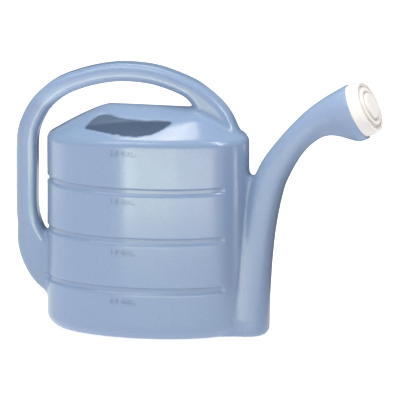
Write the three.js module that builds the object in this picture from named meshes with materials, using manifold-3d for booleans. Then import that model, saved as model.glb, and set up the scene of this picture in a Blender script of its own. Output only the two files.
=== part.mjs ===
// Garden watering can: a hollow blow-moulded tank whose handle, spout and base are all one shell,
// and a separate white sprinkler rose that pushes into the mouth of the spout.
// Millimetres. The origin is the centre of the flat base, on the ground. +X points to the spout, +Z is up.
// The one-piece shell is divided into simple open sections that meet with a small gap.

import * as THREE from 'three';
import { mergeVertices } from 'three/addons/utils/BufferGeometryUtils.js';
import Module from 'manifold-3d';

const wasm = await Module();
wasm.setup();

// Driving dimensions
const WALL = 1.8; // thickness of the moulded shell
const GAP = 0.3; // clearance between neighbouring sections

const TANK_HALF_LENGTH = 131.5;
const TANK_HALF_WIDTH = 80;
const BASE_RADIUS = 21; // rounding between the base and the wall
const BASE_TOP = 24;
const WALL_TOP = 244;

const GROOVE_HEIGHTS = [65, 129.5, 194];
const GROOVE_DEPTH = 1.8;
const GROOVE_HALF_HEIGHT = 4.2;
const GROOVE_FLOOR_BELOW = 1; // the groove's flat floor reaches this far below its middle
const GROOVE_FLOOR_ABOVE = 2; // and this far above it
const GROOVE_END = 0.58; // radians of plan angle each side of the spout that stay plain

const EAVE_HEIGHT = 261; // where the rounded shoulder turns into the sloping deck, except at the rear
const EAVE_DROP = 8.5; // the eave is this much lower at the rear end
const SHOULDER_RADIUS = 5;
const DECK_SLOPE = THREE.MathUtils.degToRad(25);
const RIDGE_HEIGHT = 294.3; // where the two slopes would meet
const RIDGE_ROUNDING = 1; // how far the rounded ridge lies below that
const RIDGE_REAR = -49;
const RIDGE_FRONT = 57;

const HANDLE_HALF_WIDTH = 14.5;
const WEB_HALF_WIDTH = 6;
const WEB_TOP = 206;

const PORT_HALF_WIDTH = 17; // opening from the tank into the foot of the spout
const PORT_BOTTOM = 28;
const PORT_TOP = 112;

const MOUTH = { x: 272.9, z: 296.8, radius: 37 };
const ROSE_TILT = THREE.MathUtils.degToRad(65); // between the rose's axis and straight up
const ROSE_TURN = THREE.MathUtils.degToRad(5); // the rose sits slightly askew, turned to the near side
const HOLE_RADIUS = 1;
const HOLE_RINGS = [{ radius: 27.9, count: 26 }, { radius: 18.85, count: 16 }];

const TANK_SEGMENTS = 56;
const HANDLE_SEGMENTS = 16;
const HANDLE_STEPS = 44;
const SPOUT_SEGMENTS = 20;
const ROSE_SEGMENTS = 40;

// Handle, from its root on the deck over the top and down the grip to its foot on the tank.
// Each row is x, z and half the handle's depth.
const HANDLE_PATH = [
  [103, 250, 20],
  [93.5, 273, 20],
  [84, 289.5, 18],
  [69, 307, 14],
  [51.5, 319.5, 12],
  [14, 332.5, 11.6],
  [-20, 336, 11.6],
  [-50, 334, 11.6],
  [-84, 325.2, 11.8],
  [-114, 312, 12.4],
  [-138.5, 290.5, 12.8],
  [-152, 266, 13],
  [-157.2, 243, 13],
  [-157.5, 200, 13],
  [-157.5, 155, 13],
  [-155.5, 132, 15],
  [-151, 112, 20],
  [-142, 91, 23.4],
  [-127, 72, 26],
  [-106, 60, 26],
];
const ARCH_END = 24; // the step where the arch turns down into the grip
const GRIP_END = 36; // the step where the grip bends in to its foot

// Spout, from its foot beside the tank to its flared mouth.
// Each row is x, z, tilt from vertical in degrees, half depth and half width of the section.
const SPOUT_PATH = [
  [118, 10, 0, 40, 32],
  [118.5, 34, 0, 40.5, 31],
  [123, 62, 0, 37.5, 28.5],
  [132, 90, 2, 30, 24.5],
  [141, 118, 6, 23.4, 21.4],
  [146, 140, 8, 20.7, 20.3],
  [149.8, 160, 11, 20, 19.8],
  [154.2, 180.3, 15, 19.5, 19.4],
  [160.8, 204, 24, 19.8, 19.3],
  [171.6, 226.5, 32, 19.1, 18.8],
  [185.7, 245.8, 37.5, 18.1, 18.1],
  [195.5, 258, 41.5, 18, 18],
  [206, 268.5, 46, 18.2, 18.2],
  [216.5, 277.5, 51, 19.2, 19],
  [229.8, 284.9, 57, 23, 22.2],
  [248, 289.8, 62, 30, 29.3],
  [260.5, 292.4, 64.5, 35.2, 34.8],
  [MOUTH.x, MOUTH.z, 65, MOUTH.radius, MOUTH.radius],
];
const SPOUT_CORNER_RADIUS = 8.5; // rounding between the spout's foot and its underside
const CHANNEL_END = 7; // the row where the upright channel becomes the leaning neck
const NECK_END = 13; // the row where the neck starts to flare

// Outline of the filling opening in plan, beside the handle on the near slope of the deck.
const FILL_OUTLINE = [
  [-75, -46], [-68, -33], [-52, -21], [-25, -27], [6, -27], [33, -25],
  [37.5, -35], [26, -54], [4, -64], [-30, -62.5], [-62, -57],
];

// Rose: a turned cap with a stepped face and a skirt that tapers into the mouth of the spout.
// Its profile is radius and distance from the mouth: outside up to the middle of the face, then back inside.
const ROSE_PROFILE = [
  [32, -8], [33.3, -4], [34.3, 0], [34.9, 4], [35.1, 13], [35, 16], [34.2, 18.5], [32.6, 19.1],
  [30.7, 19.4], [30.1, 17.4], [25.7, 17.4], [25, 20.4], [23.9, 20.8],
  [20.8, 21.2], [20.2, 19.4], [17.5, 19.4], [16.8, 22.2], [15.4, 22.7], [0, 22.9],
  [0, 20.9], [15, 20.6], [15.8, 17.6], [24, 17.6], [24.8, 15.6], [31.4, 15.4],
  [33.1, 13], [33.1, 4], [32.5, 0], [31.5, -4], [30.2, -8],
];

// Closed surfaces from rings of points

function triangulateRings(rings, joinEnds) {
  const count = rings[0].length;
  const positions = rings.flat().flatMap((p) => [p.x, p.y, p.z]);
  const index = [];
  const strips = joinEnds ? rings.length : rings.length - 1;
  for (let i = 0; i < strips; i++) {
    const next = (i + 1) % rings.length;
    for (let j = 0; j < count; j++) {
      const a = i * count + j;
      const b = i * count + ((j + 1) % count);
      const c = next * count + ((j + 1) % count);
      const d = next * count + j;
      index.push(a, b, c, a, c, d);
    }
  }
  if (!joinEnds) {
    capRing(rings[0], 0, positions, index, true);
    capRing(rings.at(-1), (rings.length - 1) * count, positions, index, false);
  }
  const geometry = new THREE.BufferGeometry();
  geometry.setAttribute('position', new THREE.Float32BufferAttribute(positions, 3));
  geometry.setIndex(index);
  return facingOut(geometry);
}

function capRing(ring, start, positions, index, reversed) {
  const centre = ring.reduce((sum, p) => sum.add(p), new THREE.Vector3()).divideScalar(ring.length);
  const apex = positions.length / 3;
  positions.push(centre.x, centre.y, centre.z);
  for (let j = 0; j < ring.length; j++) {
    const a = start + j;
    const b = start + ((j + 1) % ring.length);
    index.push(...(reversed ? [apex, b, a] : [apex, a, b]));
  }
}

function facingOut(geometry) {
  if (signedVolume(geometry) > 0) return geometry;
  const index = geometry.index.array;
  for (let i = 0; i < index.length; i += 3) {
    [index[i], index[i + 1]] = [index[i + 1], index[i]];
  }
  return geometry;
}

function signedVolume(geometry) {
  const position = geometry.getAttribute('position');
  const index = geometry.index.array;
  const [a, b, c] = [new THREE.Vector3(), new THREE.Vector3(), new THREE.Vector3()];
  let volume = 0;
  for (let i = 0; i < index.length; i += 3) {
    a.fromBufferAttribute(position, index[i]);
    b.fromBufferAttribute(position, index[i + 1]);
    c.fromBufferAttribute(position, index[i + 2]);
    volume += a.dot(b.cross(c)) / 6;
  }
  return volume;
}

const solid = (rings) => triangulateRings(rings, false);
const hollow = (outer, inner) => triangulateRings([...outer, ...inner.slice().reverse()], true);

// Boolean cuts

function toManifold(geometry) {
  const bare = geometry.clone();
  bare.deleteAttribute('normal');
  bare.deleteAttribute('uv');
  const merged = mergeVertices(bare, 1e-4);
  return new wasm.Manifold(new wasm.Mesh({
    numProp: 3,
    vertProperties: new Float32Array(merged.getAttribute('position').array),
    triVerts: new Uint32Array(merged.index.array),
  }));
}

function fromManifold(manifold) {
  const mesh = manifold.getMesh();
  const geometry = new THREE.BufferGeometry();
  geometry.setAttribute('position', new THREE.Float32BufferAttribute(mesh.vertProperties, 3));
  geometry.setIndex(new THREE.BufferAttribute(new Uint32Array(mesh.triVerts), 1));
  return geometry;
}

function cut(geometry, ...tools) {
  return fromManifold(tools.reduce((rest, tool) => rest.subtract(toManifold(tool)), toManifold(geometry)));
}

// Tank: an upright elliptic shell

const planAngles = Array.from({ length: TANK_SEGMENTS }, (_, i) => (2 * Math.PI * i) / TANK_SEGMENTS);

function ellipseRing(inset, height, angleInset = () => 0) {
  return planAngles.map((angle) => {
    const shrink = inset + angleInset(angle);
    const x = (TANK_HALF_LENGTH - shrink) * Math.cos(angle);
    const y = (TANK_HALF_WIDTH - shrink) * Math.sin(angle);
    return new THREE.Vector3(x, y, height);
  });
}

// The three grooves run round the sides and the grip end, and fade out beside the spout.
function grooveFade(angle) {
  const fromSpout = Math.abs(THREE.MathUtils.euclideanModulo(angle + Math.PI, 2 * Math.PI) - Math.PI);
  return THREE.MathUtils.smoothstep(fromSpout, GROOVE_END, GROOVE_END + 0.12);
}

function wallRings(inset) {
  const groove = (angle) => GROOVE_DEPTH * grooveFade(angle);
  const rings = [ellipseRing(inset, BASE_TOP)];
  for (const height of GROOVE_HEIGHTS) {
    rings.push(ellipseRing(inset, height - GROOVE_HALF_HEIGHT));
    rings.push(ellipseRing(inset, height - GROOVE_FLOOR_BELOW, groove));
    rings.push(ellipseRing(inset, height + GROOVE_FLOOR_ABOVE, groove));
    rings.push(ellipseRing(inset, height + GROOVE_HALF_HEIGHT));
  }
  rings.push(ellipseRing(inset, WALL_TOP));
  return rings;
}

function tankWall() {
  return cut(hollow(wallRings(0), wallRings(WALL)), spoutPort(), handleCore());
}

function tankBase() {
  const steps = 4;
  const outer = [];
  const inner = [];
  for (let i = 0; i <= steps; i++) {
    const angle = (Math.PI / 2) * (i / steps);
    const inset = BASE_RADIUS * (1 - Math.sin(angle));
    const height = BASE_RADIUS * (1 - Math.cos(angle));
    outer.push(ellipseRing(inset, height));
    inner.push(ellipseRing(Math.max(inset, 0) + WALL, Math.max(height, WALL)));
  }
  outer.push(ellipseRing(0, BASE_TOP - GAP));
  inner.push(ellipseRing(WALL, BASE_TOP - GAP));
  // Near the flat floor the rounding is thicker, so that the inside never dips below the floor's top.
  inner[1] = ellipseRing(BASE_RADIUS * (1 - Math.sin(Math.PI / 8)) + WALL, WALL * 1.9);
  return solid([...outer, ...inner.reverse()]);
}

// Deck: a rounded shoulder, then straight rulings up to a level ridge along the centre line.
// The opening for filling is cut into its right-hand slope, beside the handle.

function deckRings(inset, drop, skirtHeight) {
  const steps = 3;
  const turn = Math.PI / 2 - DECK_SLOPE;
  const eave = (angle) => EAVE_HEIGHT - EAVE_DROP * Math.max(-Math.cos(angle), 0) ** 1.2 - drop;
  const shoulderRise = SHOULDER_RADIUS * Math.sin(turn);
  const rings = [ellipseRing(inset, skirtHeight)];
  for (let i = 0; i <= steps; i++) {
    const part = (turn * i) / steps;
    const ring = ellipseRing(inset + SHOULDER_RADIUS * (1 - Math.cos(part)), 0);
    ring.forEach((p, j) => {
      p.z = eave(planAngles[j]) - shoulderRise + SHOULDER_RADIUS * Math.sin(part);
    });
    rings.push(ring);
  }
  const edge = rings.at(-1);
  for (const part of [0.3, 0.6, 0.85, 0.97]) {
    rings.push(edge.map((p) => {
      const ridgeX = THREE.MathUtils.clamp(p.x, RIDGE_REAR, RIDGE_FRONT);
      const ridge = new THREE.Vector3(ridgeX, 0, RIDGE_HEIGHT - drop);
      const point = p.clone().lerp(ridge, part);
      const rounding = (RIDGE_ROUNDING + drop) * THREE.MathUtils.smoothstep(part, 0.75, 1);
      point.z -= rounding;
      return point;
    }));
  }
  return rings;
}

function tankDeck() {
  const outer = deckRings(0, 0, WALL_TOP + GAP);
  const inner = deckRings(WALL, WALL, WALL_TOP + GAP);
  return cut(solid([...outer.reverse(), ...inner]), fillOpening(), handleCore());
}

function fillOpening() {
  const outline = new THREE.CatmullRomCurve3(FILL_OUTLINE.map(([x, y]) => new THREE.Vector3(x, y, 0)), true);
  const ring = (height) => outline.getSpacedPoints(36).slice(0, -1).map((p) => p.clone().setZ(height));
  return solid([ring(WALL_TOP - 20), ring(RIDGE_HEIGHT + 20)]);
}

// The tank's filled outline, grown by the gap: the handle and spout are trimmed with it.
function tankEnvelope() {
  const base = [];
  for (const part of [0, 0.25, 0.5, 0.75, 1]) {
    const angle = (Math.PI / 2) * part;
    const inset = BASE_RADIUS * (1 - Math.sin(angle)) - GAP;
    base.push(ellipseRing(inset, BASE_RADIUS * (1 - Math.cos(angle)) - GAP));
  }
  return solid([...base, ...deckRings(-GAP, -GAP, WALL_TOP)]);
}

// Sections swept along a path in the XZ plane

function superellipse(segments, exponent) {
  return Array.from({ length: segments }, (_, i) => {
    const angle = (2 * Math.PI * i) / segments;
    const [c, s] = [Math.cos(angle), Math.sin(angle)];
    return [Math.sign(c) * Math.abs(c) ** (2 / exponent), Math.sign(s) * Math.abs(s) ** (2 / exponent)];
  });
}

// A ring across the path: depth runs in the XZ plane at right angles to the path, width along Y.
function crossRing(station, section, inset = 0) {
  const front = new THREE.Vector3(Math.cos(station.tilt), 0, -Math.sin(station.tilt));
  return section.map(([u, v]) => new THREE.Vector3(station.x, v * (station.width - inset), station.z)
    .addScaledVector(front, u * (station.depth - inset)));
}

// Handle

function handleStations() {
  const points = HANDLE_PATH.map(([x, z, depth]) => new THREE.Vector3(x, depth, z));
  const curve = new THREE.CatmullRomCurve3(points);
  return Array.from({ length: HANDLE_STEPS + 1 }, (_, i) => {
    const point = curve.getPointAt(i / HANDLE_STEPS);
    const tangent = curve.getTangentAt(i / HANDLE_STEPS);
    const tilt = Math.atan2(tangent.x, tangent.z);
    return { x: point.x, z: point.z, tilt, depth: point.y, width: HANDLE_HALF_WIDTH };
  });
}

const handleSection = superellipse(HANDLE_SEGMENTS, 3.5);

function handleCore() {
  return solid(handleStations().map((station) => crossRing(station, handleSection, WALL)));
}

function handlePart(from, to) {
  const all = handleStations();
  const stations = all.slice(from, to + 1);
  stations[0] = backOff(stations[0], from > 0 ? -GAP / 2 : 0);
  stations[stations.length - 1] = backOff(stations.at(-1), to < all.length - 1 ? GAP / 2 : 0);
  const outer = stations.map((station) => crossRing(station, handleSection));
  const inner = stations.map((station) => crossRing(station, handleSection, WALL));
  return hollow(outer, inner);
}

// Moves a station back along its path, to leave half of the gap at a joint between two sections.
function backOff(station, distance) {
  const along = new THREE.Vector3(Math.sin(station.tilt), 0, Math.cos(station.tilt));
  return { ...station, x: station.x - along.x * distance, z: station.z - along.z * distance };
}

// Spout

const spoutStations = SPOUT_PATH.map(([x, z, tilt, depth, width]) => (
  { x, z, tilt: THREE.MathUtils.degToRad(tilt), depth, width }
));
const roundSection = superellipse(SPOUT_SEGMENTS, 2);

function spoutRings(from, to, inset) {
  const stations = spoutStations.slice(from, to + 1);
  if (from > 0) stations[0] = backOff(stations[0], -GAP / 2);
  if (to < spoutStations.length - 1) stations[stations.length - 1] = backOff(stations.at(-1), GAP / 2);
  return stations.map((station) => crossRing(station, roundSection, inset));
}

// The rounded underside of the spout's foot, as rings from the ground up.
function footRings(inset) {
  const foot = spoutStations[0];
  return [0, 0.33, 0.66].map((part) => {
    const angle = (Math.PI / 2) * part;
    const shrink = SPOUT_CORNER_RADIUS * (1 - Math.sin(angle));
    const height = SPOUT_CORNER_RADIUS * (1 - Math.cos(angle));
    return crossRing({ ...foot, z: Math.max(height, inset) }, roundSection, inset + shrink);
  });
}

function spoutChannel() {
  const outer = [...footRings(0), ...spoutRings(0, CHANNEL_END, 0)];
  const inner = [...footRings(WALL).slice(1), ...spoutRings(0, CHANNEL_END, WALL)];
  return cut(solid([...outer, ...inner.reverse()]), tankEnvelope());
}

function spoutTube(from, to) {
  return hollow(spoutRings(from, to, 0), spoutRings(from, to, WALL));
}

// The fin that ties the spout to the end of the tank
function spoutWeb() {
  const tankEnd = TANK_HALF_LENGTH - 4;
  const neckRear = 150;
  const bottom = WEB_TOP - 48;
  const outline = new THREE.Shape();
  outline.moveTo(tankEnd, bottom);
  outline.lineTo(neckRear - 3, bottom);
  outline.lineTo(neckRear, WEB_TOP);
  outline.quadraticCurveTo(tankEnd + 11, WEB_TOP - 4, tankEnd, WEB_TOP + 3);
  outline.closePath();
  const plate = new THREE.ExtrudeGeometry(outline, {
    depth: 2 * WEB_HALF_WIDTH,
    bevelEnabled: false,
    curveSegments: 5,
  });
  plate.rotateX(Math.PI / 2);
  plate.translate(0, WEB_HALF_WIDTH, 0);
  const spout = solid(spoutStations.slice(3, 11).map((station) => crossRing(station, roundSection, -GAP)));
  return cut(plate, tankEnvelope(), spout);
}

function spoutPort() {
  const outline = new THREE.Shape();
  outline.moveTo(-PORT_HALF_WIDTH, PORT_BOTTOM);
  outline.lineTo(PORT_HALF_WIDTH, PORT_BOTTOM);
  outline.lineTo(PORT_HALF_WIDTH, PORT_TOP - PORT_HALF_WIDTH);
  outline.absarc(0, PORT_TOP - PORT_HALF_WIDTH, PORT_HALF_WIDTH, 0, Math.PI);
  outline.closePath();
  const plug = new THREE.ExtrudeGeometry(outline, { depth: 40, bevelEnabled: false, curveSegments: 6 });
  plug.rotateX(Math.PI / 2);
  plug.rotateZ(Math.PI / 2);
  return plug.translate(TANK_HALF_LENGTH - 25, 0, 0);
}

// Rose

function rose() {
  const closed = [...ROSE_PROFILE, ROSE_PROFILE[0]];
  const outline = closed.map(([radius, along]) => new THREE.Vector2(radius, along));
  const cap = new THREE.LatheGeometry(outline, ROSE_SEGMENTS);
  const holes = HOLE_RINGS.flatMap(({ radius, count }) => Array.from({ length: count }, (_, i) => {
    const angle = (2 * Math.PI * i) / count;
    const drill = new THREE.CylinderGeometry(HOLE_RADIUS, HOLE_RADIUS, 12, 6);
    return drill.translate(radius * Math.cos(angle), 18, radius * Math.sin(angle));
  }));
  return cut(withFacesOut(cap), ...holes).rotateX(Math.PI / 2);
}

function withFacesOut(geometry) {
  const bare = geometry.clone();
  bare.deleteAttribute('normal');
  bare.deleteAttribute('uv');
  return facingOut(mergeVertices(bare, 1e-4));
}

// Assembly

const shellMaterial = new THREE.MeshStandardMaterial({ color: 0xa3b9d3, roughness: 0.45, metalness: 0 });
const roseMaterial = new THREE.MeshStandardMaterial({ color: 0xf6f3ee, roughness: 0.4, metalness: 0 });

function shellPart(name, geometry) {
  const mesh = new THREE.Mesh(geometry, shellMaterial);
  mesh.name = name;
  return mesh;
}

const group = new THREE.Group();
group.add(
  shellPart('tank_base', tankBase()),
  shellPart('tank_wall', tankWall()),
  shellPart('tank_deck', tankDeck()),
  shellPart('handle_arch', cut(handlePart(0, ARCH_END), tankEnvelope())),
  shellPart('handle_grip', handlePart(ARCH_END, GRIP_END)),
  shellPart('handle_foot', cut(handlePart(GRIP_END, HANDLE_STEPS), tankEnvelope())),
  shellPart('spout_channel', spoutChannel()),
  shellPart('spout_web', spoutWeb()),
  shellPart('spout_neck', spoutTube(CHANNEL_END, NECK_END)),
  shellPart('spout_mouth', spoutTube(NECK_END, spoutStations.length - 1)),
);

const roseMesh = new THREE.Mesh(rose(), roseMaterial);
roseMesh.name = 'rose';
roseMesh.rotation.set(0, ROSE_TILT, -ROSE_TURN, 'ZYX');
roseMesh.position.set(MOUTH.x, 0, MOUTH.z);
group.add(roseMesh);

export default group;
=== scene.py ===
"""Looks of a blow-moulded garden watering can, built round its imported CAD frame.

The can is one moulded shell, so all of its CAD sections are replaced by one continuous piece. Its outer skin
is the zero surface of a distance function in millimetres (tank, deck, handle, spout and web joined with soft
fillets), meshed on a grid and given a real wall. The rose is a turned cap with real sprinkle holes.
"""
import math

import bmesh
import bpy
import numpy as np
from mathutils import Matrix, Vector


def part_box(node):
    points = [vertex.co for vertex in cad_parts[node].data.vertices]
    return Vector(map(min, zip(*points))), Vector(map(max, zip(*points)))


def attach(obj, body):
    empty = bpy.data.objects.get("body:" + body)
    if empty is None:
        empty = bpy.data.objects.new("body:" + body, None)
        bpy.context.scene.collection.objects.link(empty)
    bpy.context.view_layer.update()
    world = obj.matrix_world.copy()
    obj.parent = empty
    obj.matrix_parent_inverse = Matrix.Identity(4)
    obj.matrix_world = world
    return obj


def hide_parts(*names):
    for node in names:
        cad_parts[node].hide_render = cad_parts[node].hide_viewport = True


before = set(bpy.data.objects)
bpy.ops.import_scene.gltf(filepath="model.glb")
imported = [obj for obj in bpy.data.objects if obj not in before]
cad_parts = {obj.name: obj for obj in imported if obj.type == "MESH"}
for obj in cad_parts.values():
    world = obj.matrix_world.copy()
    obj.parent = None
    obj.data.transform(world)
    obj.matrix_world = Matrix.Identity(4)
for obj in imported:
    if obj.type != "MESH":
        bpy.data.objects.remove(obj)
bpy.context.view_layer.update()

MM = 0.001
SHELL_NODES = [
    "tank_base", "tank_wall", "tank_deck", "handle_arch", "handle_grip", "handle_foot",
    "spout_channel", "spout_web", "spout_neck", "spout_mouth",
]

# Shape of the can, in millimetres, in the frame of the CAD model

_, tank_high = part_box("tank_wall")
TANK_A = tank_high.x / MM
TANK_B = tank_high.y / MM
WALL = 1.8
BASE_RADIUS = 21.0
SHOULDER_RADIUS = 5.0
EAVE = 260.3
REAR_DROP, REAR_DROP_POWER = 8.5, 1.2
FRONT_DROP, FRONT_DROP_POWER = 5.5, 4
RIDGE = 293.4
RIDGE_REAR = -46.0
RIDGE_FRONT = 62.0
REAR_BULGE = 0.22
RIDGE_SOFTNESS = 0.06
DECK_COSINE = math.cos(math.radians(25))

GROOVES = (65.0, 129.5, 194.0)
GROOVE_DEPTH = 1.9
GROOVE_TOP = 6.0
GROOVE_BOTTOM = -3.8
GROOVE_UPPER_EDGE = 1.6
GROOVE_LOWER_LIP = 3.2
GROOVE_END = 0.585  # radians round the oval from the spout
GROOVE_END_SCALE = 100  # millimetres of wall to a radian there
GROOVE_END_LIP = 2.2

HANDLE_HALF_WIDTH = 14.5
HANDLE_CORNER = 8.5
# Middle line of the handle in the XZ plane, with half of its depth at each point
HANDLE_PATH = [
    (103, 250, 20), (93.5, 273, 20), (84, 289.5, 18), (69, 307, 14), (51.5, 319.5, 12), (14, 332.2, 12),
    (-20, 335.8, 12), (-50, 333.8, 12), (-84, 325.2, 12), (-114, 312, 12.4), (-138.5, 290.5, 12.8),
    (-152.4, 266, 13.1), (-157.8, 243, 13.2), (-158.3, 200, 13.4), (-158.3, 155, 13.4), (-155.5, 132, 15),
    (-151, 112, 20), (-142, 91, 23.4), (-127, 72, 26), (-106, 60, 26),
]

# Rear and front outlines of the spout in the XZ plane. The rear one also has half of the spout's width.
SPOUT_REAR = [
    (78, -12, 31), (78, 10, 31), (78.5, 34, 30.6), (87, 62, 28.4), (103, 90, 24.5), (118, 115, 21.6),
    (125.2, 138, 20.3), (129.6, 159, 19.8), (134, 181, 19.4), (140.5, 207, 19.2), (151.6, 230, 18.8),
    (167.6, 252, 18.1), (184.5, 272, 18.2), (205, 293.2, 19.5), (226, 310, 25), (242, 320.6, 31.5),
    (257.5, 330, 36.8), (268, 336, 38.5),
]
SPOUT_FRONT = [
    (157.9, -12), (158.2, 10), (159.6, 52), (163.1, 105), (168.2, 147), (177.2, 189), (186, 211),
    (197.7, 232), (208, 245.5), (219, 255.6), (229, 261.8), (240, 264.6), (252, 263.6), (265, 260.6),
    (274, 258.9), (281.5, 259.7), (288.2, 262.5), (299, 267.8),
]
SPOUT_CORNER = 8.5
SPOUT_SQUARENESS = 2.6  # power of the section's rounded oval, where 2 is an ellipse
SPOUT_SQUARE_TO, SPOUT_OVAL_FROM = 180, 230
SPOUT_LEAST_HALF_DEPTH = 8
MOUTH = np.array([272.9, 0.0, 296.8])
MOUTH_TILT = math.radians(65)
MOUTH_OVERRUN = 3  # skin beyond the mouth, which is trimmed off again
MOUTH_REACH = 40
ROSE_AXIS = np.array([math.sin(MOUTH_TILT), 0.0, math.cos(MOUTH_TILT)])

WEB_TOP = 206.0
WEB_RISE = 0.03
WEB_LOW_POINT = 5
WEB_RISE_END = 14
WEB_EDGE_RADIUS = 4
WEB_HALF_WIDTH = 8.5
WEB_INTO_TANK, WEB_INTO_SPOUT = 6, 20
WEB_FRONT_END = 160

# Plan of the filling opening: a pocket pressed into the deck, whose bottom is then taken out
HOLE_OUTLINE = [
    (-74.5, -37.5), (-71.5, -31.5), (-66.5, -24), (-59, -19.5), (-49.5, -19.8), (-35, -26), (-17, -30.5),
    (8, -31.5), (28, -30), (36.5, -31.2), (37.5, -37), (27, -51), (17, -60), (2, -65.2), (-18, -63.2),
    (-43, -56.8), (-66, -44.8),
]
HOLE_FLANGE = 3.8
HOLE_ROUNDING = 2.0
HOLE_TRIM = 1.2  # height above the pocket's bottom at which the flange ends
POCKET_MARGIN = 1.5
POCKET_TOP = -1
POCKET_SLACK = 3

SPOUT_FILLET = 6.0
HANDLE_FILLET = 8.0
WEB_FILLET = 9.0


# Distance functions

def smooth_union(a, b, radius):
    share = np.clip(0.5 + 0.5 * (b - a) / radius, 0, 1)
    return b * (1 - share) + a * share - radius * share * (1 - share)


def smooth_cut(a, b, radius):
    return -smooth_union(-a, b, radius)


def round_intersection(a, b, radius):
    corner = np.hypot(np.maximum(a + radius, 0), np.maximum(b + radius, 0))
    return np.minimum(-radius, np.maximum(a, b)) + corner


def ellipse_distance(u, v, a, b):
    reach = np.hypot(u / a, v / b)
    slope = np.hypot(u / (a * a), v / (b * b))
    return reach * (reach - 1) / np.maximum(slope, 1e-6)


def rounded_oval_distance(u, v, a, b, power):
    """Like an ellipse, but with flatter sides as the power rises above two."""
    across, along = np.abs(u) / a, np.abs(v) / b
    reach = np.maximum((across**power + along**power) ** (1 / power), 1e-6)
    slope = np.hypot((across / reach) ** (power - 1) / a, (along / reach) ** (power - 1) / b)
    return (reach - 1) / np.maximum(slope, 1e-6)


def smoothstep(value, low, high):
    t = np.clip((value - low) / (high - low), 0, 1)
    return t * t * (3 - 2 * t)


def catmull_rom(rows, steps, closed=False):
    """Points along a smooth curve through the rows, with the same number of steps between each two."""
    rows = np.array(rows, float)
    if closed:
        padded = np.vstack([rows[-1], rows, rows[:2]])
    else:
        padded = np.vstack([2 * rows[0] - rows[1], rows, 2 * rows[-1] - rows[-2]])
    t = (np.arange(steps) / steps)[:, None]
    points = []
    for p0, p1, p2, p3 in zip(padded, padded[1:], padded[2:], padded[3:]):
        points.append(0.5 * (
            2 * p1 + (p2 - p0) * t
            + (2 * p0 - 5 * p1 + 4 * p2 - p3) * t**2
            + (3 * p1 - p0 - 3 * p2 + p3) * t**3
        ))
    points = np.vstack(points)
    return points if closed else np.vstack([points, rows[-1]])


def along_path(path, x, z):
    """Signed distance to a path in the XZ plane, and the path's section sizes at the nearest point."""
    best = np.full(x.shape, np.inf)
    offset = np.zeros(x.shape)
    sizes = [np.zeros(x.shape) for _ in range(path.shape[1] - 2)]
    for start, end in zip(path, path[1:]):
        step = end - start
        length = math.hypot(step[0], step[1])
        px, pz = x - start[0], z - start[1]
        t = np.clip((px * step[0] + pz * step[1]) / length**2, 0, 1)
        gap = np.hypot(px - t * step[0], pz - t * step[1])
        nearer = gap < best
        best = np.where(nearer, gap, best)
        side = np.sign(px * step[1] - pz * step[0])
        offset = np.where(nearer, gap * side, offset)
        for k, size in enumerate(sizes):
            here = start[2 + k] + t * step[2 + k]
            sizes[k] = np.where(nearer, here, size)
    return offset, sizes


CURVE_STEPS = 5
handle_curve = catmull_rom(HANDLE_PATH, CURVE_STEPS)
spout_rear = catmull_rom(SPOUT_REAR, CURVE_STEPS)
spout_front = catmull_rom(SPOUT_FRONT, CURVE_STEPS)
hole_curve = catmull_rom(HOLE_OUTLINE, CURVE_STEPS, closed=True)


def handle_distance(x, y, z):
    offset, (half_depth,) = along_path(handle_curve, x, z)
    across = np.abs(offset) - (half_depth - HANDLE_CORNER)
    sideways = np.abs(y) - (HANDLE_HALF_WIDTH - HANDLE_CORNER)
    outside = np.hypot(np.maximum(across, 0), np.maximum(sideways, 0))
    return outside + np.minimum(np.maximum(across, sideways), 0) - HANDLE_CORNER


def spout_distance(x, y, z):
    """An oval tube between the two outlines, cut off at the ground and a little beyond its mouth."""
    behind, (half_width,) = along_path(spout_rear, x, z)
    ahead, _ = along_path(spout_front, x, z)
    half_depth = np.maximum((behind - ahead) / 2, SPOUT_LEAST_HALF_DEPTH)
    power = SPOUT_SQUARENESS - (SPOUT_SQUARENESS - 2) * smoothstep(x, SPOUT_SQUARE_TO, SPOUT_OVAL_FROM)
    tube = rounded_oval_distance((behind + ahead) / 2, y, half_depth, half_width, power)
    foot = round_intersection(tube, -z, SPOUT_CORNER)
    beyond_mouth = (x - MOUTH[0]) * ROSE_AXIS[0] + (z - MOUTH[2]) * ROSE_AXIS[2]
    return np.maximum(foot, beyond_mouth - MOUTH_OVERRUN)


def web_distance(x, y, z):
    """A fin between the tank and the spout, whose top edge rises towards the spout."""
    top = WEB_TOP + WEB_RISE * np.minimum(x - TANK_A - WEB_LOW_POINT, WEB_RISE_END) ** 2
    fin = round_intersection(np.abs(y) - WEB_HALF_WIDTH, z - top, WEB_EDGE_RADIUS)
    front = np.interp(z, spout_rear[:, 1], spout_rear[:, 0] + WEB_INTO_SPOUT)
    fin = np.maximum(fin, TANK_A - WEB_INTO_TANK - x)
    return np.maximum(fin, x - np.minimum(front, WEB_FRONT_END))


def groove_depth(x, y, z):
    """How far the three grooves are pressed in: a flat floor, a sharp upper edge and a sloped lower lip."""
    angle = np.abs(np.arctan2(y / TANK_B, x / TANK_A))
    past_end = (angle - GROOVE_END) * GROOVE_END_SCALE
    half = (GROOVE_TOP - GROOVE_BOTTOM) / 2
    depth = 0
    for height in GROOVES:
        rise = z - height
        upper = 1 - smoothstep(rise, GROOVE_TOP - GROOVE_UPPER_EDGE, GROOVE_TOP)
        lower = smoothstep(rise, GROOVE_BOTTOM, GROOVE_BOTTOM + GROOVE_LOWER_LIP)
        round_end = half - np.sqrt(np.maximum(half**2 - (rise - GROOVE_TOP + half) ** 2, 0))
        depth = depth + upper * lower * smoothstep(past_end - round_end, 0, GROOVE_END_LIP)
    return GROOVE_DEPTH * depth


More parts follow.
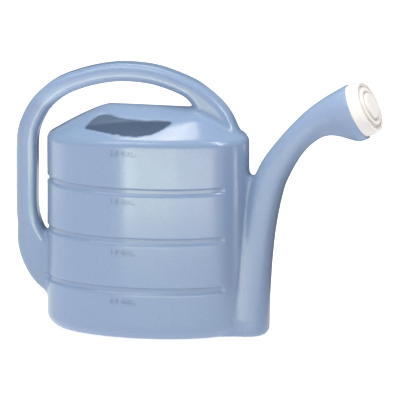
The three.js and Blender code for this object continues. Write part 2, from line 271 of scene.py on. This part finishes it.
def deck_height(x, y):
    """Height of the deck, whose rulings run from the ridge to the oval eave, which is lower at both ends."""
    ridge_x = np.clip(x, RIDGE_REAR, RIDGE_FRONT)
    dx, dy = x - ridge_x, np.abs(y)
    qa = (dx / TANK_A) ** 2 + (dy / TANK_B) ** 2
    qb = 2 * ridge_x * dx / TANK_A**2
    qc = (ridge_x / TANK_A) ** 2 - 1
    share = 2 * qa / np.maximum(-qb + np.sqrt(np.maximum(qb * qb - 4 * qa * qc, 0)), 1e-6)
    edge_x = ridge_x + dx / np.maximum(share, 1e-3)
    eave = EAVE - REAR_DROP * np.maximum(-edge_x / TANK_A, 0) ** REAR_DROP_POWER
    eave = eave - FRONT_DROP * np.maximum(edge_x / TANK_A, 0) ** FRONT_DROP_POWER
    rearward = np.where(dx < 0, (dx / TANK_A) ** 2 / np.maximum(qa, 1e-9), 0)
    soft = (np.sqrt(share**2 + RIDGE_SOFTNESS**2) - RIDGE_SOFTNESS) / (1 - RIDGE_SOFTNESS)
    return RIDGE + (eave - RIDGE) * soft ** (1 + REAR_BULGE * rearward)


def polygon_distance(points, x, y):
    best = np.full(np.broadcast(x, y).shape, np.inf)
    inside = np.zeros(best.shape, bool)
    for (x0, y0), (x1, y1) in zip(points, np.roll(points, -1, axis=0)):
        ex, ey = x1 - x0, y1 - y0
        t = np.clip(((x - x0) * ex + (y - y0) * ey) / (ex * ex + ey * ey), 0, 1)
        best = np.minimum(best, np.hypot(x - x0 - t * ex, y - y0 - t * ey))
        crosses = (y0 > y) != (y1 > y)
        inside ^= crosses & (x < x0 + (y - y0) * ex / (ey if ey else 1e-9))
    return np.where(inside, -best, best)


def above_flange(x, y, z):
    """Height above the lower end of the filling opening's flange, which follows the deck."""
    return (z - deck_height(x, y) + HOLE_FLANGE) * DECK_COSINE


def tank_distance(x, y, z):
    wall = ellipse_distance(x, y, TANK_A, TANK_B) + groove_depth(x, y, z)
    low = round_intersection(wall, -z, BASE_RADIUS)
    roof = (z - deck_height(x, y)) * DECK_COSINE
    body = np.maximum(low, round_intersection(wall, roof, SHOULDER_RADIUS))
    plan = polygon_distance(hole_curve, x, y)
    pocket = np.maximum(plan, -above_flange(x, y, z))
    return smooth_cut(body, pocket, HOLE_ROUNDING)


def shell_distance(x, y, z):
    body = smooth_union(tank_distance(x, y, z), web_distance(x, y, z), WEB_FILLET)
    body = np.maximum(smooth_union(body, spout_distance(x, y, z), SPOUT_FILLET), -z)
    return smooth_union(body, handle_distance(x, y, z), HANDLE_FILLET)


# Meshing

GRID_X, GRID_Y, GRID_Z = (-180, 300), (-86, 86), (-5, 354)


def grid_line(low, high, step, fine_bands=(), fine_step=1.0):
    """Grid coordinates from low to high, closer together inside the fine bands."""
    values = [low]
    while values[-1] < high:
        fine = any(a <= values[-1] < b for a, b in fine_bands)
        values.append(values[-1] + (fine_step if fine else step))
    return np.array(values)


def surface_nets(field, xs, ys, zs):
    """A quad mesh of the field's zero surface: one vertex in each grid cell that the surface crosses."""
    inside = field < 0
    shape = tuple(n - 1 for n in field.shape)
    corners = [(i, j, k) for i in (0, 1) for j in (0, 1) for k in (0, 1)]
    window = [tuple(slice(o, o + n) for o, n in zip(c, shape)) for c in corners]
    count = sum(inside[w].astype(np.int8) for w in window)
    active = (count > 0) & (count < 8)
    cell = np.argwhere(active)
    number = np.full(shape, -1, np.int64)
    number[active] = np.arange(len(cell))
    values = np.stack([field[w][active] for w in window], axis=1)
    total = np.zeros((len(cell), 3))
    hits = np.zeros((len(cell), 1))
    for a, ca in enumerate(corners):
        for b, cb in enumerate(corners):
            if b <= a or sum(abs(p - q) for p, q in zip(ca, cb)) != 1:
                continue
            va, vb = values[:, a], values[:, b]
            crossing = (va < 0) != (vb < 0)
            t = np.where(crossing, va / np.where(crossing, va - vb, 1), 0)[:, None]
            point = np.array(ca) * (1 - t) + np.array(cb) * t
            total += np.where(crossing[:, None], point, 0)
            hits += crossing[:, None]
    local = total / hits
    vertices = np.empty((len(cell), 3))
    for axis, line in enumerate((xs, ys, zs)):
        start = line[cell[:, axis]]
        vertices[:, axis] = start + local[:, axis] * (line[cell[:, axis] + 1] - start)

    faces = []
    for axis in range(3):
        u, v = (axis + 1) % 3, (axis + 2) % 3
        here = [slice(1, -1)] * 3
        here[axis] = slice(0, -1)
        there = [slice(1, -1)] * 3
        there[axis] = slice(1, None)
        first = inside[tuple(here)]
        change = first != inside[tuple(there)]
        spots = np.argwhere(change)
        leaving = first[change]
        base = spots + 1
        base[:, axis] -= 1
        quad = []
        for du, dv in ((-1, -1), (0, -1), (0, 0), (-1, 0)):
            near = base.copy()
            near[:, u] += du
            near[:, v] += dv
            quad.append(number[tuple(near.T)])
        quad = np.stack(quad, axis=1)
        quad[~leaving] = quad[~leaving][:, ::-1]
        faces.append(quad)
    return vertices, np.vstack(faces)


def gradient(points, step=0.04):
    """Unit outward normals of the shell's distance function, from four evaluations."""
    taps = np.array([(1, -1, -1), (-1, -1, 1), (-1, 1, -1), (1, 1, 1)], float)
    total = np.zeros_like(points)
    for tap in taps:
        moved = points + tap * step
        total += tap * shell_distance(*moved.T)[:, None]
    slope = total / (4 * step)
    size = np.linalg.norm(slope, axis=1, keepdims=True)
    return slope / np.maximum(size, 1e-6), size


def project(points, rounds=2, least_slope=0.3, longest_move=1.5):
    """Moves every point along its normal onto the zero surface."""
    for _ in range(rounds):
        normal, size = gradient(points)
        distance = shell_distance(*points.T)[:, None]
        move = np.clip(distance / np.maximum(size, least_slope), -longest_move, longest_move)
        points = points - normal * move
    return points


def relax(points, faces, share=0.5):
    """Moves every vertex towards the middle of its neighbours, which evens out the quads."""
    total = np.zeros_like(points)
    hits = np.zeros(len(points))
    for a, b in ((0, 1), (1, 2), (2, 3), (3, 0)):
        for here, there in ((a, b), (b, a)):
            np.add.at(total, faces[:, here], points[faces[:, there]])
            np.add.at(hits, faces[:, here], 1)
    return points * (1 - share) + share * total / hits[:, None]


def mesh_object(name, vertices, faces):
    mesh = bpy.data.meshes.new(name)
    mesh.from_pydata([tuple(v) for v in vertices], [], [tuple(f) for f in faces])
    mesh.validate()
    mesh.update()
    mesh.shade_smooth()
    piece = bpy.data.objects.new(name, mesh)
    bpy.context.scene.collection.objects.link(piece)
    return piece


def outer_skin():
    step = 2.6
    groove_step = 0.65
    bands = [(h + GROOVE_BOTTOM - 1, h + GROOVE_TOP + 1) for h in GROOVES]
    xs = grid_line(*GRID_X, step)
    ys = grid_line(*GRID_Y, step)
    zs = grid_line(*GRID_Z, step, bands, groove_step)
    field = shell_distance(xs[:, None, None], ys[None, :, None], zs[None, None, :])
    points, faces = surface_nets(field, xs, ys, zs)
    points = project(points)
    for _ in range(2):
        points = project(relax(points, faces), rounds=1)
    return project(points, rounds=1), faces


def trim_by_plane(bm, faces, point, normal):
    """Cuts the given faces with a plane and deletes what lies on the side that the normal points to."""
    edges = {e for f in faces for e in f.edges}
    verts = {v for f in faces for v in f.verts}
    bmesh.ops.bisect_plane(
        bm, geom=list(faces) + list(edges) + list(verts), dist=1e-4,
        plane_co=point, plane_no=normal, clear_outer=True, clear_inner=False,
    )


def lower_by_deck(bm, sign):
    """Moves every vertex down by the height of the deck above it, or back up."""
    spots = np.array([v.co for v in bm.verts])
    for v, height in zip(bm.verts, deck_height(spots[:, 0], spots[:, 1])):
        v.co.z -= sign * height


def open_filling_hole(bm):
    """Takes the bottom out of the pressed-in pocket, at a constant depth below the deck."""
    centres = np.array([f.calc_center_median() for f in bm.faces])
    depth = centres[:, 2] - deck_height(centres[:, 0], centres[:, 1])
    under = polygon_distance(hole_curve, centres[:, 0], centres[:, 1]) < POCKET_MARGIN
    pocket = under & (depth < POCKET_TOP) & (depth > -HOLE_FLANGE - POCKET_SLACK)
    faces = [f for f, chosen in zip(bm.faces, pocket) if chosen]
    lower_by_deck(bm, 1)
    trim_by_plane(bm, faces, Vector((0, 0, HOLE_TRIM - HOLE_FLANGE)), Vector((0, 0, -1)))
    lower_by_deck(bm, -1)


def shell_with_wall(bm, thickness, rim_steps=4):
    """Gives the open skin an inner face and joins the two round every open edge with a round rim."""
    bm.normal_update()
    outer_faces = list(bm.faces)
    rim_edges = [e for e in bm.edges if len(e.link_faces) == 1]
    inner = {}
    for v in list(bm.verts):
        inner[v] = bm.verts.new(v.co - v.normal * thickness)
    for f in outer_faces:
        bm.faces.new([inner[v] for v in reversed(f.verts)])

    outward = {}
    for e in rim_edges:
        face = e.link_faces[0]
        along = e.verts[1].co - e.verts[0].co
        away = along.cross(face.normal).normalized()
        if away.dot(e.verts[0].co - face.calc_center_median()) < 0:
            away = -away
        for v in e.verts:
            outward[v] = outward.get(v, Vector()) + away
    arcs = {}
    for v, away in outward.items():
        away = (away - v.normal * away.dot(v.normal)).normalized()
        middle = v.co - v.normal * thickness / 2
        arc = [v]
        for i in range(1, rim_steps):
            angle = math.pi * i / rim_steps
            reach = v.normal * math.cos(angle) + away * math.sin(angle)
            arc.append(bm.verts.new(middle + reach * thickness / 2))
        arc.append(inner[v])
        arcs[v] = arc
    for e in rim_edges:
        face = e.link_faces[0]
        first, second = e.verts
        for loop in face.loops:
            if loop.edge == e:
                first, second = loop.vert, loop.link_loop_next.vert
        for i in range(rim_steps):
            a, b = arcs[first], arcs[second]
            bm.faces.new((a[i], a[i + 1], b[i + 1], b[i]))


def build_shell():
    points, faces = outer_skin()
    piece = mesh_object("can_shell", points, faces)
    bm = bmesh.new()
    bm.from_mesh(piece.data)
    near_mouth = [f for f in bm.faces if f.calc_center_median().x > MOUTH[0] - MOUTH_REACH]
    trim_by_plane(bm, near_mouth, MOUTH, ROSE_AXIS)
    open_filling_hole(bm)
    loose = [v for v in bm.verts if not v.link_faces]
    bmesh.ops.delete(bm, geom=loose, context="VERTS")
    shell_with_wall(bm, WALL)
    bmesh.ops.recalc_face_normals(bm, faces=bm.faces)
    bmesh.ops.scale(bm, vec=(MM, MM, MM), verts=bm.verts)
    bm.to_mesh(piece.data)
    bm.free()
    piece.data.shade_smooth()
    return piece


# Volume marks, raised on the near side of the wall

MARKS = (("2.0 GAL.", 241.8), ("1.5 GAL.", 179), ("1.0 GAL.", 112.6), ("0.5 GAL.", 48.6))
MARK_END = 2.0
MARK_SIZE = 8.9
MARK_SPACING = 1.08
MARK_HEIGHT = 0.85
MARK_THINNING = -0.1
MARK_BEVEL = 0.12


def build_marks():
    """Each mark is written flat, then wrapped round the wall so that it ends at the same place."""
    vertices, faces = [], []
    for text, foot in MARKS:
        curve = bpy.data.curves.new("mark", "FONT")
        curve.body = text
        curve.size = MARK_SIZE
        curve.space_character = MARK_SPACING
        curve.offset = MARK_THINNING
        curve.align_x = "RIGHT"
        curve.extrude = MARK_HEIGHT
        curve.bevel_depth = MARK_BEVEL
        curve.bevel_resolution = 1
        curve.resolution_u = 3
        writer = bpy.data.objects.new("mark", curve)
        bpy.context.scene.collection.objects.link(writer)
        bpy.context.view_layer.update()
        flat = writer.to_mesh()
        start = len(vertices)
        for v in flat.vertices:
            x = MARK_END + v.co.x
            y = -TANK_B * math.sqrt(1 - (x / TANK_A) ** 2)
            out = Vector((x / TANK_A**2, y / TANK_B**2, 0)).normalized()
            place = Vector((x, y, foot + v.co.y)) + out * (v.co.z - MARK_BEVEL)
            vertices.append(place * MM)
        for f in flat.polygons:
            faces.append([start + i for i in f.vertices])
        writer.to_mesh_clear()
        bpy.data.objects.remove(writer)
    return mesh_object("volume_marks", vertices, faces)


# Rose

ROSE_SEGMENTS = 104
ROSE_TURN = 5.0
ROSE_SHARP_ANGLE = 38
HOLE_RADIUS = 1.25
HOLE_RINGS = ((27.9, 26), (18.85, 16))  # radius of each ring and number of its holes
DRILL_MIDDLE, DRILL_LENGTH, DRILL_SIDES = 18, 14, 14
OUTSIDE_ROUNDING, INSIDE_ROUNDING = 1.2, 0.8
# Outside and inside of the rose: radius, and distance along its axis from the mouth
ROSE_OUTSIDE = [
    (30.2, -8), (32, -8), (33.8, -4), (34.8, 0), (35.1, 4), (35.2, 13), (35, 16.4), (34, 18.7), (32.6, 19.2),
    (30.8, 19.4), (30.2, 17), (25.8, 17), (25.2, 20.4), (23.9, 20.8),
    (20.9, 21.2), (20.3, 19), (17.4, 19), (16.8, 22.1), (15.4, 22.8), (6, 22.7), (0, 22.6),
]
ROSE_INSIDE = [
    (0, 20.9), (15, 20.6), (15.8, 17.1), (24, 17.1), (24.8, 15.1), (31.4, 15.1),
    (33.1, 13), (33.1, 4), (32.5, 0), (31.5, -4), (30.2, -8),
]


def rounded(points, radius, steps=4):
    """A profile with each of its corners replaced by a short curve."""
    out = [points[0]]
    for before, corner, after in zip(points, points[1:], points[2:]):
        a, c, b = (np.array(p, float) for p in (before, corner, after))
        cut = min(radius, np.linalg.norm(a - c) / 2.2, np.linalg.norm(b - c) / 2.2)
        start = c + (a - c) / np.linalg.norm(a - c) * cut
        end = c + (b - c) / np.linalg.norm(b - c) * cut
        for i in range(steps + 1):
            t = i / steps
            out.append(tuple(start * (1 - t) ** 2 + 2 * c * t * (1 - t) + end * t**2))
    out.append(points[-1])
    return out


def lathe(bm, profile, segments):
    """Turns a closed profile round the Z axis. A point on the axis becomes a single vertex."""
    rings = []
    for radius, along in profile:
        if radius < 1e-6:
            rings.append([bm.verts.new((0, 0, along))])
            continue
        ring = []
        for i in range(segments):
            angle = 2 * math.pi * i / segments
            ring.append(bm.verts.new((radius * math.cos(angle), radius * math.sin(angle), along)))
        rings.append(ring)
    for low, high in zip(rings, rings[1:] + rings[:1]):
        for i in range(segments):
            j = (i + 1) % segments
            loop = [low[i % len(low)], low[j % len(low)], high[j % len(high)], high[i % len(high)]]
            unique = list(dict.fromkeys(loop))
            if len(unique) > 2:
                bm.faces.new(unique)


def drill_mesh():
    """All the sprinkle holes as one mesh of round drills."""
    bm = bmesh.new()
    for radius, count in HOLE_RINGS:
        for i in range(count):
            angle = 2 * math.pi * (i + 0.5) / count
            place = Matrix.Translation((radius * math.cos(angle), radius * math.sin(angle), DRILL_MIDDLE))
            bmesh.ops.create_cone(
                bm, cap_ends=True, segments=DRILL_SIDES, radius1=HOLE_RADIUS, radius2=HOLE_RADIUS,
                depth=DRILL_LENGTH, matrix=place,
            )
    mesh = bpy.data.meshes.new("drills")
    bm.to_mesh(mesh)
    bm.free()
    return mesh


def build_rose():
    """The turned and drilled cap, placed in the mouth and turned a little to the near side."""
    bm = bmesh.new()
    profile = rounded(ROSE_OUTSIDE, OUTSIDE_ROUNDING) + rounded(ROSE_INSIDE, INSIDE_ROUNDING)
    lathe(bm, profile, ROSE_SEGMENTS)
    bmesh.ops.remove_doubles(bm, verts=bm.verts, dist=1e-4)
    bmesh.ops.recalc_face_normals(bm, faces=bm.faces)
    blank = bpy.data.meshes.new("rose_blank")
    bm.to_mesh(blank)
    bm.free()
    body = bpy.data.objects.new("rose_blank", blank)
    drills = bpy.data.objects.new("drills", drill_mesh())
    for item in (body, drills):
        bpy.context.scene.collection.objects.link(item)
    cut = body.modifiers.new("holes", "BOOLEAN")
    cut.object = drills
    cut.operation = "DIFFERENCE"
    cut.solver = "EXACT"
    bpy.context.view_layer.update()
    evaluated = body.evaluated_get(bpy.context.evaluated_depsgraph_get())
    mesh = bpy.data.meshes.new_from_object(evaluated)
    for item in (body, drills):
        bpy.data.objects.remove(item)
    mesh.name = "rose_cap"
    turn = Matrix.Rotation(-math.radians(ROSE_TURN), 4, "Z") @ Matrix.Rotation(MOUTH_TILT, 4, "Y")
    mesh.transform(Matrix.Scale(MM, 4) @ Matrix.Translation(Vector(MOUTH)) @ turn)
    mesh.shade_smooth()
    mesh.set_sharp_from_angle(angle=math.radians(ROSE_SHARP_ANGLE))
    piece = bpy.data.objects.new("rose_cap", mesh)
    bpy.context.scene.collection.objects.link(piece)
    return piece


# Materials, with scales for each metre of the object

CLOUD_SCALE, GLOSS_SCALE, GRAIN_SCALE = 16, 60, 750
NOISE_LOW, NOISE_HIGH = 0.3, 0.7
GLOSS_BELOW, GLOSS_ABOVE = 0.012, 0.018
# Reach of the painted crevice shade, an occlusion darkening that is multiplied into the base colour
PAINTED_SHADE_REACH = 0.003
BUMP_STRENGTH, BUMP_HEIGHT = 0.3, 0.00012
ROUGHER_FROM, ROUGHER_TO = 0.125, 0.145  # along X, between the tank and the spout


def plastic(name, color, roughness):
    material = bpy.data.materials.new(name)
    material.use_nodes = True
    shader = material.node_tree.nodes["Principled BSDF"]
    shader.inputs["Base Color"].default_value = color
    shader.inputs["Roughness"].default_value = roughness
    return material


def moulded_plastic(name, color, other, roughness, grain, darkest_painted_shade, spout_roughness=0.0):
    """Satin moulded plastic: a faintly cloudy tone, painted shade that darkens the colour in crevices,
    grooves and joins, uneven gloss and fine mould grain.
    """
    material = plastic(name, color, roughness)
    nodes, links = material.node_tree.nodes, material.node_tree.links
    shader = nodes["Principled BSDF"]
    place = nodes.new("ShaderNodeTexCoord")

    def noise(scale, detail):
        node = nodes.new("ShaderNodeTexNoise")
        node.inputs["Scale"].default_value = scale
        node.inputs["Detail"].default_value = detail
        links.new(place.outputs["Object"], node.inputs["Vector"])
        return node

    def remap(source, to_min, to_max):
        node = nodes.new("ShaderNodeMapRange")
        node.inputs["From Min"].default_value = NOISE_LOW
        node.inputs["From Max"].default_value = NOISE_HIGH
        node.inputs["To Min"].default_value = to_min
        node.inputs["To Max"].default_value = to_max
        links.new(source.outputs["Fac"], node.inputs["Value"])
        return node

    cloud = noise(CLOUD_SCALE, 3)
    tone = nodes.new("ShaderNodeValToRGB")
    tone.color_ramp.elements[0].position = 0.35
    tone.color_ramp.elements[0].color = color
    tone.color_ramp.elements[1].position = 0.65
    tone.color_ramp.elements[1].color = other
    links.new(cloud.outputs["Fac"], tone.inputs["Fac"])
    # Painted shade: occlusion over a few millimetres darkens the base colour in grooves, lips and joins, down
    # to the given factor
    corners = nodes.new("ShaderNodeAmbientOcclusion")
    corners.samples = 8
    corners.only_local = True
    corners.inputs["Distance"].default_value = PAINTED_SHADE_REACH
    shade = nodes.new("ShaderNodeMapRange")
    shade.inputs["To Min"].default_value = darkest_painted_shade
    links.new(corners.outputs["AO"], shade.inputs["Value"])
    tint = nodes.new("ShaderNodeMix")
    tint.data_type = "RGBA"
    tint.blend_type = "MULTIPLY"
    tint.inputs["Factor"].default_value = 1
    fine = noise(GRAIN_SCALE, 2)
    speckle = remap(fine, 1 - grain, 1 + grain)
    both = nodes.new("ShaderNodeMath")
    both.operation = "MULTIPLY"
    links.new(shade.outputs["Result"], both.inputs[0])
    links.new(speckle.outputs["Result"], both.inputs[1])
    links.new(tone.outputs["Color"], tint.inputs["A"])
    links.new(both.outputs["Value"], tint.inputs["B"])
    links.new(tint.outputs["Result"], shader.inputs["Base Color"])

    spread = remap(noise(GLOSS_SCALE, 4), roughness - GLOSS_BELOW, roughness + GLOSS_ABOVE)
    axes = nodes.new("ShaderNodeSeparateXYZ")
    links.new(place.outputs["Object"], axes.inputs["Vector"])
    toward_spout = nodes.new("ShaderNodeMapRange")
    toward_spout.inputs["From Min"].default_value = ROUGHER_FROM
    toward_spout.inputs["From Max"].default_value = ROUGHER_TO
    toward_spout.inputs["To Max"].default_value = spout_roughness
    links.new(axes.outputs["X"], toward_spout.inputs["Value"])
    total = nodes.new("ShaderNodeMath")
    links.new(spread.outputs["Result"], total.inputs[0])
    links.new(toward_spout.outputs["Result"], total.inputs[1])
    links.new(total.outputs["Value"], shader.inputs["Roughness"])

    bump = nodes.new("ShaderNodeBump")
    bump.inputs["Strength"].default_value = BUMP_STRENGTH
    bump.inputs["Distance"].default_value = BUMP_HEIGHT
    links.new(fine.outputs["Fac"], bump.inputs["Height"])
    links.new(bump.outputs["Normal"], shader.inputs["Normal"])
    return material


# The sixth number of each material sets how dark its painted crevice shade gets; 1.0 paints none
shell_material = moulded_plastic(
    "blue_polyethylene", (0.207, 0.27, 0.403, 1), (0.207, 0.275, 0.398, 1), 0.2, 0.07, 0.62, 0.22,
)
mark_material = moulded_plastic(
    "raised_marks", (0.211, 0.276, 0.409, 1), (0.211, 0.281, 0.404, 1), 0.2, 0.07, 1.0,
)
rose_material = moulded_plastic(
    "white_plastic", (0.64, 0.585, 0.55, 1), (0.65, 0.6, 0.565, 1), 0.4, 0.02, 0.45,
)

can_shell = build_shell()
can_shell.data.materials.append(shell_material)
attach(can_shell, "can")
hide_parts(*SHELL_NODES)

volume_marks = build_marks()
volume_marks.data.materials.append(mark_material)
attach(volume_marks, "can")

rose_cap = build_rose()
rose_cap.data.materials.append(rose_material)
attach(rose_cap, "rose")
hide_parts("rose")


# Camera, at the photograph's viewing angle

AZIMUTH = 12.5
ELEVATION = 12.5
CAMERA_DISTANCE = 14.0
FRAME_WIDTH = 0.512
SENSOR = 36.0
CAMERA_TARGET = Vector((0.0681, 0, 0.1716))


def add_camera():
    data = bpy.data.cameras.new("camera")
    data.sensor_width = SENSOR
    data.lens = SENSOR * CAMERA_DISTANCE / FRAME_WIDTH
    camera = bpy.data.objects.new("camera", data)
    back = toward(AZIMUTH, ELEVATION)
    camera.location = CAMERA_TARGET + back * CAMERA_DISTANCE
    camera.rotation_euler = (-back).to_track_quat("-Z", "Y").to_euler()
    bpy.context.scene.collection.objects.link(camera)
    bpy.context.scene.camera = camera


# Studio

FLOOR_REACH = 12
FLOOR_GLOW = 0.8
WORLD_COLOR = (0.84, 0.9, 1, 1)
WORLD_STRENGTH = 0.55


def add_floor():
    r = FLOOR_REACH
    floor = mesh_object("floor", [(-r, -r, 0), (r, -r, 0), (r, r, 0), (-r, r, 0)], [(0, 1, 2, 3)])
    material = plastic("pale_floor", (0.6, 0.6, 0.6, 1), 0.9)
    shader = material.node_tree.nodes["Principled BSDF"]
    shader.inputs["Emission Color"].default_value = (1, 1, 1, 1)
    shader.inputs["Emission Strength"].default_value = FLOOR_GLOW
    floor.data.materials.append(material)


def toward(azimuth, elevation):
    """Direction from the can, at an angle round it (0 is the near side, 90 the spout's end) and above it."""
    a, e = math.radians(azimuth), math.radians(elevation)
    return Vector((math.sin(a) * math.cos(e), -math.cos(a) * math.cos(e), math.sin(e)))


def add_softbox(
    name, azimuth, elevation, distance, width, height, power, color=(1, 1, 1), target=(0, 0, 0.15),
):
    """A rectangular light that faces the can. One named for a reflection gives only shine, no soft light."""
    data = bpy.data.lights.new(name, "AREA")
    data.shape = "RECTANGLE"
    data.size = width
    data.size_y = height
    data.energy = power
    data.color = color
    light = bpy.data.objects.new(name, data)
    back = toward(azimuth, elevation)
    light.location = Vector(target) + back * distance
    light.rotation_euler = (-back).to_track_quat("-Z", "Y").to_euler()
    light.visible_diffuse = not name.endswith("reflection")
    bpy.context.scene.collection.objects.link(light)
    return light


def add_ceiling_strip(name, place, width, depth, turn, power):
    """A small warm light that faces straight down. Only one named for a reflection is seen in the plastic."""
    light = add_softbox(name, 0, 90, 1, width, depth, power, (1, 0.9, 0.75))
    light.location = place
    light.rotation_euler = (0, 0, math.radians(turn))
    light.visible_camera = False
    light.visible_glossy = name.endswith("reflection")
    return light


def add_dark_card(target, azimuth, distance, width, low, high, shades=False):
    """An upright black card that is only reflected in the plastic, or only keeps soft light away from it."""
    back = toward(azimuth, 0)
    side = Vector((-back.y, back.x, 0)) * width / 2
    foot = Vector(target) + back * distance
    corners = [foot - side, foot + side, foot + side, foot - side]
    corners = [c + Vector((0, 0, z)) for c, z in zip(corners, (low, low, high, high))]
    card = mesh_object("dark_card", corners, [(0, 1, 2, 3)])
    card.data.materials.append(plastic("black_card", (0.01, 0.01, 0.01, 1), 1.0))
    card.visible_camera = False
    card.visible_diffuse = shades
    card.visible_glossy = not shades
    card.visible_shadow = False


def add_studio():
    world = bpy.data.worlds.new("studio")
    world.use_nodes = True
    background = world.node_tree.nodes["Background"]
    background.inputs["Color"].default_value = WORLD_COLOR
    background.inputs["Strength"].default_value = WORLD_STRENGTH
    bpy.context.scene.world = world
    add_softbox("key", -29, 51, 2.0, 1.4, 1.2, 14.9, (1, 0.99, 0.96))
    add_softbox("sky", -10, 76, 1.6, 1.2, 1.2, 20, (0.89, 1, 0.95)).visible_glossy = False
    at_rose = (0.285, 0, 0.305)
    add_softbox("rose_face", 68, 47, 0.25, 0.08, 0.08, 0.38, (1, 0.97, 0.93), at_rose).visible_glossy = False
    add_softbox("rose_side", -20, 55, 0.3, 0.06, 0.06, 0.14, (1, 0.97, 0.95), at_rose).visible_glossy = False
    add_softbox("front_reflection", 0, 0, 0.78, 0.55, 0.13, 1.5, (0.97, 0.97, 0.6), (0, 0, 0.066))
    add_softbox("front_edge_reflection", -16, 0, 0.77, 0.09, 0.13, 0.17, (0.92, 1, 0.8), (0, 0, 0.062))
    add_softbox("front_right_reflection", 38, 0, 0.8, 0.55, 0.12, 1.15, (1, 0.95, 0.7), (0, 0, 0.055))
    add_softbox("right_reflection", 116, 0, 0.8, 0.6, 0.12, 1.5, (1, 0.88, 0.85), (0.12, 0, 0.055))
    add_softbox("left_reflection", -93, 0, 0.9, 0.45, 0.14, 0.21, (1, 1, 1), (0, 0, 0.065))
    add_ceiling_strip("deck_right_reflection", (0.045, 0.133, 0.7), 0.145, 0.04, 6, 0.23)
    add_ceiling_strip("deck_left_reflection", (-0.09, 0.162, 0.7), 0.19, 0.05, -7, 0.33)
    at_root = (0.104, -0.014, 0.275)
    root = add_softbox("root_reflection", 62, 33, 0.15, 0.03, 0.12, 0.15, (1, 0.97, 0.9), at_root)
    root.visible_camera = False
    add_ceiling_strip("under_arch", (-0.005, -0.006, 0.318), 0.12, 0.03, 0, 0.009)
    below_arch = add_ceiling_strip("arch_from_below", (-0.065, -0.035, 0.288), 0.15, 0.02, 0, 0.028)
    below_arch.rotation_euler.x = math.pi
    add_dark_card((0.13, 0, 0), 72, 0.25, 0.12, 0, 0.24)
    add_dark_card((0.15, 0, 0), 165, 0.2, 0.22, 0, 0.31)
    add_dark_card((0.18, 0.05, 0), 90, 0.05, 0.1, 0, 0.19)
    add_dark_card((0.2, 0.04, 0), 84, 0.09, 0.22, 0, 0.2, shades=True)
    add_dark_card((0, 0, 0), 192, 0.5, 0.5, 0.1, 0.95)
    inside = bpy.data.lights.new("inside", "POINT")
    inside.energy = 0.76
    inside.color = (1, 0.97, 0.78)
    inside.shadow_soft_size = 0.05
    lamp = bpy.data.objects.new("inside", inside)
    lamp.location = (0, 0, 0.1)
    lamp.visible_glossy = False
    bpy.context.scene.collection.objects.link(lamp)


add_camera()
add_floor()
add_studio()
bpy.context.scene.view_settings.view_transform = "Standard"
